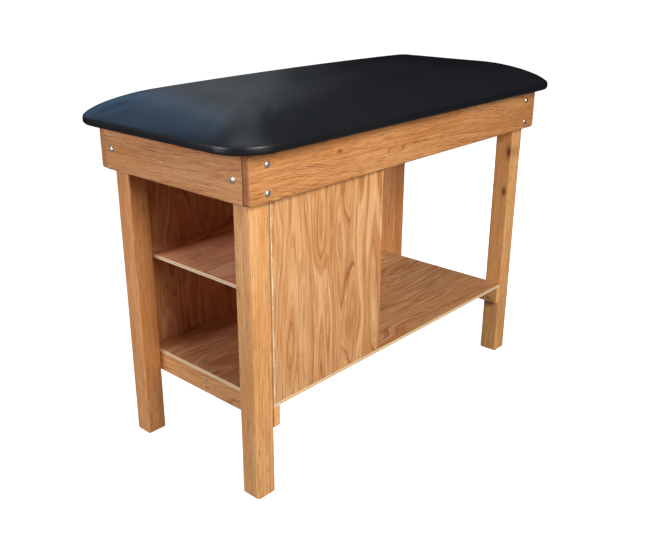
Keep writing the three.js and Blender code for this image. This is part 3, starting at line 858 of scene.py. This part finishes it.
def bolt_mesh(length):
    """A domed carriage bolt with its crown at the origin and thread-like grooves at its far end."""
    profile = [(0, 0)]
    for i in range(1, BOLT_HEAD_STEPS + 1):
        angle = i / BOLT_HEAD_STEPS * math.pi / 2
        drop = (BOLT_HEAD_HEIGHT - BOLT_HEAD_EDGE) * (1 - math.cos(angle))
        profile.append((BOLT_HEAD_RADIUS * math.sin(angle), -drop))
    underside = -BOLT_HEAD_HEIGHT + SEAT_GAP
    profile.append((BOLT_HEAD_RADIUS, underside + BOLT_HEAD_CHAMFER))
    profile.append((BOLT_HEAD_RADIUS - BOLT_HEAD_CHAMFER, underside))
    profile.append((BOLT_RADIUS, underside))
    start = length - BOLT_THREAD_TURNS * BOLT_THREAD_PITCH - 1
    profile.append((BOLT_RADIUS, -start))
    for turn in range(BOLT_THREAD_TURNS):
        height = start + turn * BOLT_THREAD_PITCH
        profile.append((BOLT_RADIUS - BOLT_THREAD_DEPTH, -height - BOLT_THREAD_PITCH * 0.5))
        profile.append((BOLT_RADIUS, -height - BOLT_THREAD_PITCH * 0.9))
        profile.append((BOLT_RADIUS, -height - BOLT_THREAD_PITCH))
    profile.append((BOLT_RADIUS - BOLT_END_CHAMFER, -length))
    profile.append((0, -length))
    return lathe(profile)


def cross_recess():
    """The tapered cross that a screwdriver fits, as a cutting shape."""
    shape = bmesh.new()
    for turn in (0, 1):
        place = Matrix.Rotation(turn * math.pi / 2, 4, "Z")
        ends = [(-1, -1), (1, -1), (1, 1), (-1, 1)]
        top = [(a * RECESS_REACH, b * RECESS_HALF_WIDTH, RECESS_LIP) for a, b in ends]
        base = [(x * 0.35, y * 0.6, -RECESS_DEPTH) for x, y, _ in top]
        corners = [shape.verts.new(place @ (Vector(p) * MM)) for p in base + top]
        shape.faces.new(corners[3::-1])
        shape.faces.new(corners[4:])
        for i in range(4):
            j = (i + 1) % 4
            shape.faces.new((corners[i], corners[j], corners[4 + j], corners[4 + i]))
    return to_mesh(shape, "cross")


def screw_mesh(length):
    """A countersunk screw with its flat head at the origin."""
    head, shank = SCREW_HEAD_RADIUS, SCREW_RADIUS
    profile = [(0, 0), (2.6, 0), (head - 0.25, 0), (head, -0.15), (head, -SCREW_HEAD_EDGE)]
    profile += [(shank, -SCREW_HEAD_DEPTH), (shank, -length + SCREW_POINT), (0, -length)]
    blank = bpy.data.objects.new("blank", lathe(profile))
    cutter = bpy.data.objects.new("cutter", cross_recess())
    for part in (blank, cutter):
        bpy.context.scene.collection.objects.link(part)
    boolean = blank.modifiers.new("Recess", "BOOLEAN")
    boolean.object = cutter
    boolean.operation = "DIFFERENCE"
    boolean.use_self = True
    mesh = evaluated_mesh(blank)
    for part in (blank, cutter):
        bpy.data.objects.remove(part)
    mesh.shade_smooth()
    mesh.set_sharp_from_angle(angle=math.radians(30))
    return mesh


def make_bolts(metal):
    """The twelve carriage bolts, and the finish of their nuts."""
    for end, sx in ENDS.items():
        for side, sy in SIDES.items():
            for level in ("upper", "lower", "end"):
                node = f"carriage_bolt_{side}_{end}_{level}"
                faces = (sx, 0, 0) if level == "end" else (0, sy, 0)
                length, place = face_out(node, faces)
                bolt = add_piece(f"domed_bolt_{side}_{end}_{level}", bolt_mesh(length), metal,
                                 place)
                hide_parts(node)
                dress(f"nut_{side}_{end}_{level}", metal, NUT_ARRIS)


def make_screws(metal):
    """The screws of the rails, the shelf and the stretcher, each with its cross at its own angle."""
    plan = []
    for end, sx in ENDS.items():
        for side in SIDES:
            plan.append((f"rail_screw_{side}_{end}", (-sx, 0, 0)))
            plan.append((f"shelf_screw_{side}_{end}", (0, 0, 1)))
        for level in ("upper", "lower"):
            plan.append((f"stretcher_screw_{end}_{level}", (sx, 0, 0)))
    turns = random.Random(SCREW_SEED)
    for node, faces in plan:
        length, place = face_out(node, faces)
        place = place @ Matrix.Rotation(turns.uniform(0, math.pi / 2), 4, "Z")
        screw = add_piece("countersunk_" + node, screw_mesh(length), metal, place)
        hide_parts(node)


# ---- Floor, lights and camera ------------------------------------------------------
FLOOR_REACH = 60  # in metres, like every place in this section
FLOOR_DROP = 0.0005
WORLD_BRIGHT_SIDE = (-0.6, -0.2, 0.77)  # the direction that most of the light comes from
WORLD_DARK_FROM = -0.40  # the share of that direction at which the light has faded to nothing
WORLD_BRIGHT = 0.32
TABLE_MIDDLE = (0, 0, 0.5)
PAD_LEFT_PART = (-0.4, 0, 0.9)


def make_floor():
    """A wide pale floor, a hair below the feet."""
    shape = bmesh.new()
    bmesh.ops.create_grid(shape, x_segments=2, y_segments=2, size=FLOOR_REACH)
    floor = bpy.data.objects.new("floor", to_mesh(shape, "floor"))
    bpy.context.scene.collection.objects.link(floor)
    floor.data.materials.append(studio_floor("Studio floor"))
    floor.location.z = -FLOOR_DROP


def add_panel(name, place, target, size, power, colour, glossy=True):
    """A wide light panel at place that faces target, with or without a reflection of itself."""
    data = bpy.data.lights.new(name, "AREA")
    data.shape = "RECTANGLE"
    data.size, data.size_y = size
    data.energy = power
    data.color = colour
    panel = bpy.data.objects.new(name, data)
    bpy.context.scene.collection.objects.link(panel)
    panel.location = place
    panel.visible_glossy = glossy
    panel.rotation_euler = (Vector(place) - Vector(target)).to_track_quat("Z", "Y").to_euler()


def make_world():
    """Dim light from all round, dimmest on the right, and white where the camera sees it."""
    world = bpy.data.worlds.new("Studio")
    bpy.context.scene.world = world
    world.use_nodes = True
    nodes, links = world.node_tree.nodes, world.node_tree.links
    around = nodes["Background"]
    around.inputs["Color"].default_value = (0.84, 0.92, 1.0, 1)
    toward = nodes.new("ShaderNodeTexCoord")
    share = nodes.new("ShaderNodeVectorMath")
    share.operation = "DOT_PRODUCT"
    share.inputs[1].default_value = WORLD_BRIGHT_SIDE
    level = nodes.new("ShaderNodeMapRange")
    level.inputs["From Min"].default_value = WORLD_DARK_FROM
    level.inputs["To Min"].default_value = 0
    level.inputs["To Max"].default_value = WORLD_BRIGHT
    links.new(toward.outputs["Generated"], share.inputs[0])
    links.new(share.outputs["Value"], level.inputs["Value"])
    links.new(level.outputs[0], around.inputs["Strength"])
    seen = nodes.new("ShaderNodeBackground")
    seen.inputs["Color"].default_value = (1, 1, 1, 1)
    path = nodes.new("ShaderNodeLightPath")
    choice = nodes.new("ShaderNodeMixShader")
    links.new(path.outputs["Is Camera Ray"], choice.inputs[0])
    links.new(around.outputs[0], choice.inputs[1])
    links.new(seen.outputs[0], choice.inputs[2])
    links.new(choice.outputs[0], nodes["World Output"].inputs[0])


def make_lights():
    """Soft panels round the table, in metres and watts, and the world's own light."""
    add_panel("Key", (-0.75, -2.5, 1.9), TABLE_MIDDLE, (1.3, 1.3), 93, (1.0, 0.96, 0.91))
    add_panel("Side", (-3.6, 0.9, 1.5), TABLE_MIDDLE, (1.3, 1.3), 71, (0.95, 0.95, 1.08))
    add_panel("Back", (0.55, 1.2, 2.15), PAD_LEFT_PART, (1.2, 0.9), 1.7, (0.92, 0.97, 1.0))
    add_panel("Right", (3.4, 0.3, 0.5), TABLE_MIDDLE, (1.3, 1.3), 30, (1.0, 0.98, 0.95),
              glossy=False)
    add_panel("Top", (-0.45, -0.2, 2.35), (-0.55, -0.2, 0.87), (1.3, 1.1), 6.3, (0.80, 0.92, 1.0))
    add_panel("Window", (-0.2, 2.6, 2.15), PAD_LEFT_PART, (2.4, 1.6), 9.7, (0.27, 0.56, 1.0))
    add_panel("Horizon", (1.2, 2.05, 1.5), PAD_LEFT_PART, (0.9, 0.7), 0.7, (0.86, 0.95, 1.0))
    make_world()


CAMERA_PLACE = (-1.64713, -1.42041, 1.20140)
CAMERA_HEADING = 46.892  # degrees from +Y towards +X
CAMERA_TILT = -20.604  # degrees above the horizon
CAMERA_ROLL = -0.278
CAMERA_SENSOR = 36
CAMERA_LENS = 44.89
CAMERA_SHIFT = (0.0266, -0.0177)


def make_camera():
    """A camera at the photograph's viewing angle."""
    heading, tilt = math.radians(CAMERA_HEADING), math.radians(CAMERA_TILT)
    forward_x = math.sin(heading) * math.cos(tilt)
    forward_y = math.cos(heading) * math.cos(tilt)
    forward = Vector((forward_x, forward_y, math.sin(tilt)))
    right = Vector((math.cos(heading), -math.sin(heading), 0))
    level = Matrix((right, right.cross(forward), -forward)).transposed()
    turn = level @ Matrix.Rotation(math.radians(CAMERA_ROLL), 3, "Z")
    data = bpy.data.cameras.new("Camera")
    data.sensor_width = CAMERA_SENSOR
    data.lens = CAMERA_LENS
    data.shift_x, data.shift_y = CAMERA_SHIFT
    camera = bpy.data.objects.new("Camera", data)
    bpy.context.scene.collection.objects.link(camera)
    camera.matrix_world = Matrix.Translation(CAMERA_PLACE) @ turn.to_4x4()
    bpy.context.scene.camera = camera


bpy.context.scene.view_settings.view_transform = "Standard"
make_camera()
make_floor()
make_lights()
dress_aprons()
dress_legs()
dress_frame()
dress_cabinet()
make_pad()
zinc_metal = zinc("Zinc plate")
make_bolts(zinc_metal)
make_screws(zinc_metal)
make_staples(zinc_metal)
